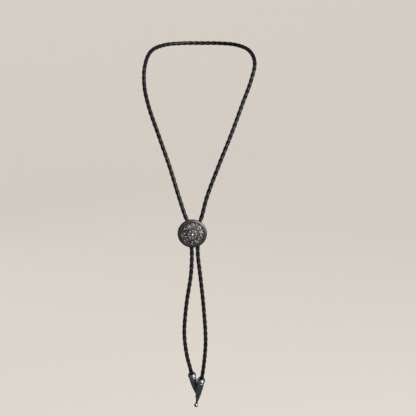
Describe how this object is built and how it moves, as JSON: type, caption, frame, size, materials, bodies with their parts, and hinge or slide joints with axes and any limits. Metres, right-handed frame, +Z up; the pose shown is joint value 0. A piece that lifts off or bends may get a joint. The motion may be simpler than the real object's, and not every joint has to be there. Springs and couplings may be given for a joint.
{
  "type": "bolo tie",
  "caption": "Necktie of round braided leather cord held by a domed round metal slide with raised scrollwork, its two ends finished with cone-shaped metal tips.",
  "frame": {"origin": "the point at the nape where the inside of the cord rests on the back of the neck", "axes": "+Z up as worn, -Y towards the front, where the slide's ornament faces, and -X to the left as seen from the front"},
  "size_m": [0.1295, 0.1493, 0.4142],
  "materials": {
    "braided_leather": "black round-braided leather with a soft polish",
    "antiqued_silver": "cast silver-tone metal, antiqued dark in the hollows and worn bright on the high places",
    "plain_metal": "plain unpolished silver-tone metal",
    "dark_pewter": "darkened silver-tone metal with a polished collar and ball"
  },
  "bodies": {
    "root": {"cord": "braided_leather", "concho": "antiqued_silver", "slide_clip": "plain_metal", "left_tip": "dark_pewter", "right_tip": "dark_pewter"}
  },
  "joints": []
}
